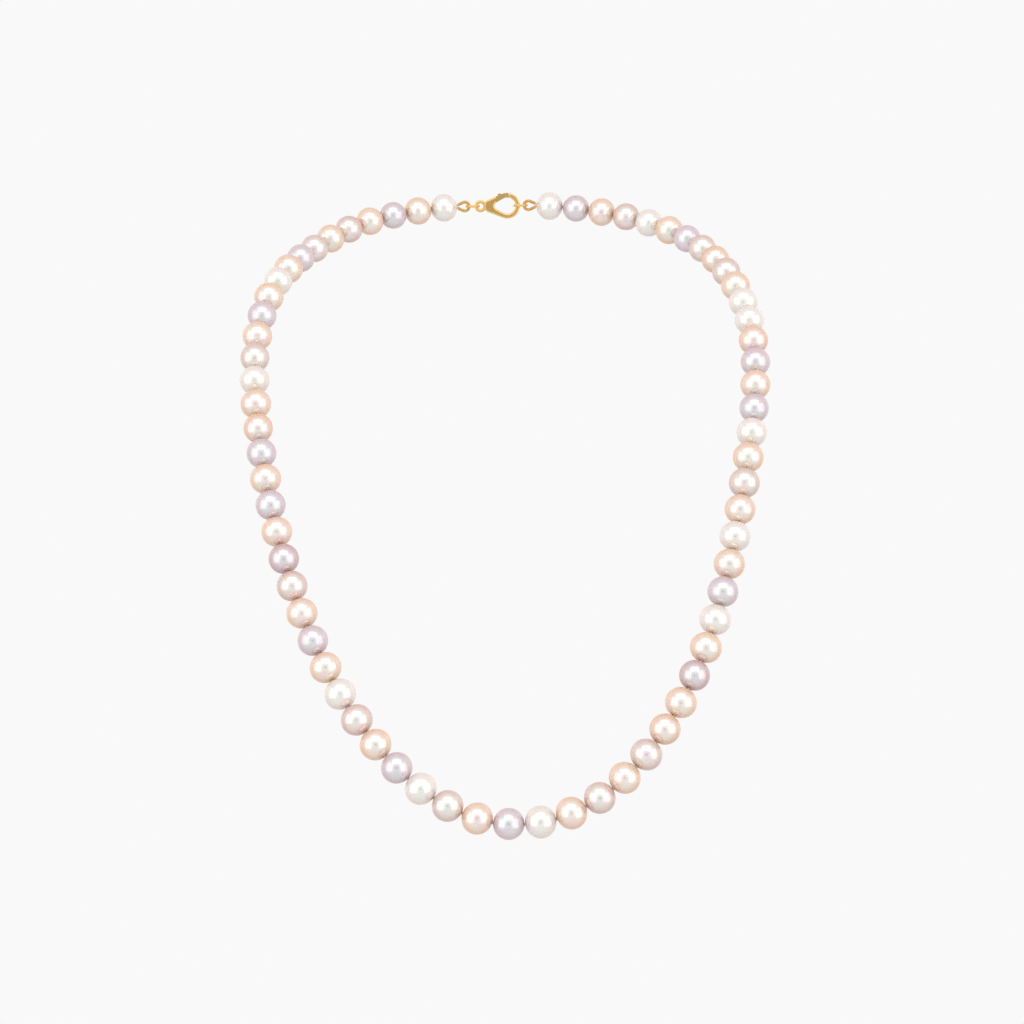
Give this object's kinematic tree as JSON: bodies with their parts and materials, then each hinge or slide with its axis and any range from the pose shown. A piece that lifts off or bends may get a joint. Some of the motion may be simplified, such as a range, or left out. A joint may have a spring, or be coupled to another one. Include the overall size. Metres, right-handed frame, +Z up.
{
  "type": "pearl necklace",
  "caption": "Strand of near-round pearls knotted on silk in its worn shape, closed behind the neck with a small lobster clasp.",
  "frame": {"origin": "middle of the neck that the necklace is worn on, level with the clasp behind it", "axes": "+Z up, +Y towards the back of the neck and the clasp, -Y towards the chest, +X to the viewer's right"},
  "size_m": [0.1248, 0.1306, 0.1414],
  "materials": {
    "pearl": "high nacre lustre",
    "silk": "twisted filament silk",
    "gold_plate": "polished gold plate"
  },
  "bodies": {
    "front": {"pearls_front": "pearl", "silk_front": "silk"},
    "left_1": {"pearls_left_1": "pearl", "silk_left_1": "silk"},
    "left_2": {"pearls_left_2": "pearl", "silk_left_2": "silk"},
    "left_3": {"pearls_left_3": "pearl", "silk_left_3": "silk"},
    "left_4": {"pearls_left_4": "pearl", "silk_left_4": "silk"},
    "left_5": {"pearls_left_5": "pearl", "silk_left_5": "silk"},
    "left_6": {"pearls_left_6": "pearl", "silk_left_6": "silk"},
    "left_7": {"pearls_left_7": "pearl", "silk_left_7": "silk"},
    "left_8": {"pearls_left_8": "pearl", "silk_left_8": "silk", "french_wire_left": "gold_plate", "french_wire_silk_left": "silk"},
    "right_1": {"pearls_right_1": "pearl", "silk_right_1": "silk"},
    "right_2": {"pearls_right_2": "pearl", "silk_right_2": "silk"},
    "right_3": {"pearls_right_3": "pearl", "silk_right_3": "silk"},
    "right_4": {"pearls_right_4": "pearl", "silk_right_4": "silk"},
    "right_5": {"pearls_right_5": "pearl", "silk_right_5": "silk"},
    "right_6": {"pearls_right_6": "pearl", "silk_right_6": "silk"},
    "right_7": {"pearls_right_7": "pearl", "silk_right_7": "silk"},
    "right_8": {"pearls_right_8": "pearl", "silk_right_8": "silk", "french_wire_right": "gold_plate", "french_wire_silk_right": "silk"},
    "clasp": {"clasp_body": "gold_plate", "clasp_pin": "gold_plate", "clasp_spring": "gold_plate"},
    "trigger": {"clasp_trigger": "gold_plate"},
    "jump_ring": {"jump_ring": "gold_plate"},
    "end_ring": {"end_ring": "gold_plate"}
  },
  "joints": [
    {"name": "left_1_flex", "type": "hinge", "parent": "front", "child": "left_1", "pos_m": [-0.00965, -0.08585, -0.13284], "axis": [0.1515, -0.7637, 0.6276], "range_deg": [0, 32]},
    {"name": "left_2_flex", "type": "hinge", "parent": "left_1", "child": "left_2", "pos_m": [-0.03078, -0.07905, -0.11633], "axis": [0.1419, -0.8375, 0.5277], "range_deg": [0, 26]},
    {"name": "left_3_flex", "type": "hinge", "parent": "left_2", "child": "left_3", "pos_m": [-0.04435, -0.06766, -0.09474], "axis": [0.0835, -0.8511, 0.5184], "range_deg": [0, 24]},
    {"name": "left_4_flex", "type": "hinge", "parent": "left_3", "child": "left_4", "pos_m": [-0.05283, -0.05387, -0.07194], "axis": [0.0382, -0.8297, 0.5569], "range_deg": [0, 23]},
    {"name": "left_5_flex", "type": "hinge", "parent": "left_4", "child": "left_5", "pos_m": [-0.05797, -0.03757, -0.04979], "axis": [0.0072, -0.7705, 0.6375], "range_deg": [0, 23]},
    {"name": "left_6_flex", "type": "hinge", "parent": "left_5", "child": "left_6", "pos_m": [-0.05913, -0.01849, -0.02944], "axis": [0.0084, -0.6737, 0.739], "range_deg": [0, 26]},
    {"name": "left_7_flex", "type": "hinge", "parent": "left_6", "child": "left_7", "pos_m": [-0.05253, 0.00417, -0.01486], "axis": [0.1507, -0.4376, 0.8864], "range_deg": [0, 26]},
    {"name": "left_8_flex", "type": "hinge", "parent": "left_7", "child": "left_8", "pos_m": [-0.03778, 0.02566, -0.0053], "axis": [0.1942, -0.5956, 0.7794], "range_deg": [0, 31]},
    {"name": "right_1_flex", "type": "hinge", "parent": "front", "child": "right_1", "pos_m": [0.01734, -0.08613, -0.13128], "axis": [0.1934, 0.7799, -0.5953], "range_deg": [0, 33]},
    {"name": "right_2_flex", "type": "hinge", "parent": "right_1", "child": "right_2", "pos_m": [0.03653, -0.079, -0.11268], "axis": [0.1384, 0.8571, -0.4962], "range_deg": [0, 26]},
    {"name": "right_3_flex", "type": "hinge", "parent": "right_2", "child": "right_3", "pos_m": [0.04736, -0.06675, -0.09006], "axis": [0.0574, 0.8517, -0.5209], "range_deg": [0, 24]},
    {"name": "right_4_flex", "type": "hinge", "parent": "right_3", "child": "right_4", "pos_m": [0.05351, -0.05214, -0.067], "axis": [0.0249, 0.8163, -0.577], "range_deg": [0, 22]},
    {"name": "right_5_flex", "type": "hinge", "parent": "right_4", "child": "right_5", "pos_m": [0.05785, -0.03495, -0.04536], "axis": [0.0021, 0.7486, -0.663], "range_deg": [0, 24]},
    {"name": "right_6_flex", "type": "hinge", "parent": "right_5", "child": "right_6", "pos_m": [0.05752, -0.01484, -0.02606], "axis": [0.0246, 0.6111, -0.7912], "range_deg": [0, 25]},
    {"name": "right_7_flex", "type": "hinge", "parent": "right_6", "child": "right_7", "pos_m": [0.05024, 0.0084, -0.01252], "axis": [0.1508, 0.4709, -0.8692], "range_deg": [0, 27]},
    {"name": "right_8_flex", "type": "hinge", "parent": "right_7", "child": "right_8", "pos_m": [0.03346, 0.02864, -0.00392], "axis": [0.2075, 0.6186, -0.7578], "range_deg": [0, 30]},
    {"name": "clasp_swing", "type": "hinge", "parent": "left_8", "child": "clasp", "pos_m": [-0.0098, 0.03702, -0.00051], "axis": [-0.0192, -0.0006, 0.9998], "range_deg": [0, 90]},
    {"name": "jump_ring_spin", "type": "hinge", "parent": "clasp", "child": "jump_ring", "pos_m": [-0.00893, 0.03705, -0.00049], "axis": [-0.0192, -0.0006, 0.9998], "continuous": true},
    {"name": "trigger", "type": "hinge", "parent": "clasp", "child": "trigger", "pos_m": [-0.00414, 0.0372, 0.0007], "axis": [-0.0324, 0.9995, 0], "range_deg": [0, 25], "stiffness_Nm_per_rad": 0.002, "springref_deg": -20.05, "deforming": ["clasp_spring"]},
    {"name": "end_ring_spin", "type": "hinge", "parent": "right_8", "child": "end_ring", "pos_m": [0.00342, 0.03745, -0.00025], "axis": [-0.0192, -0.0006, 0.9998], "continuous": true}
  ]
}
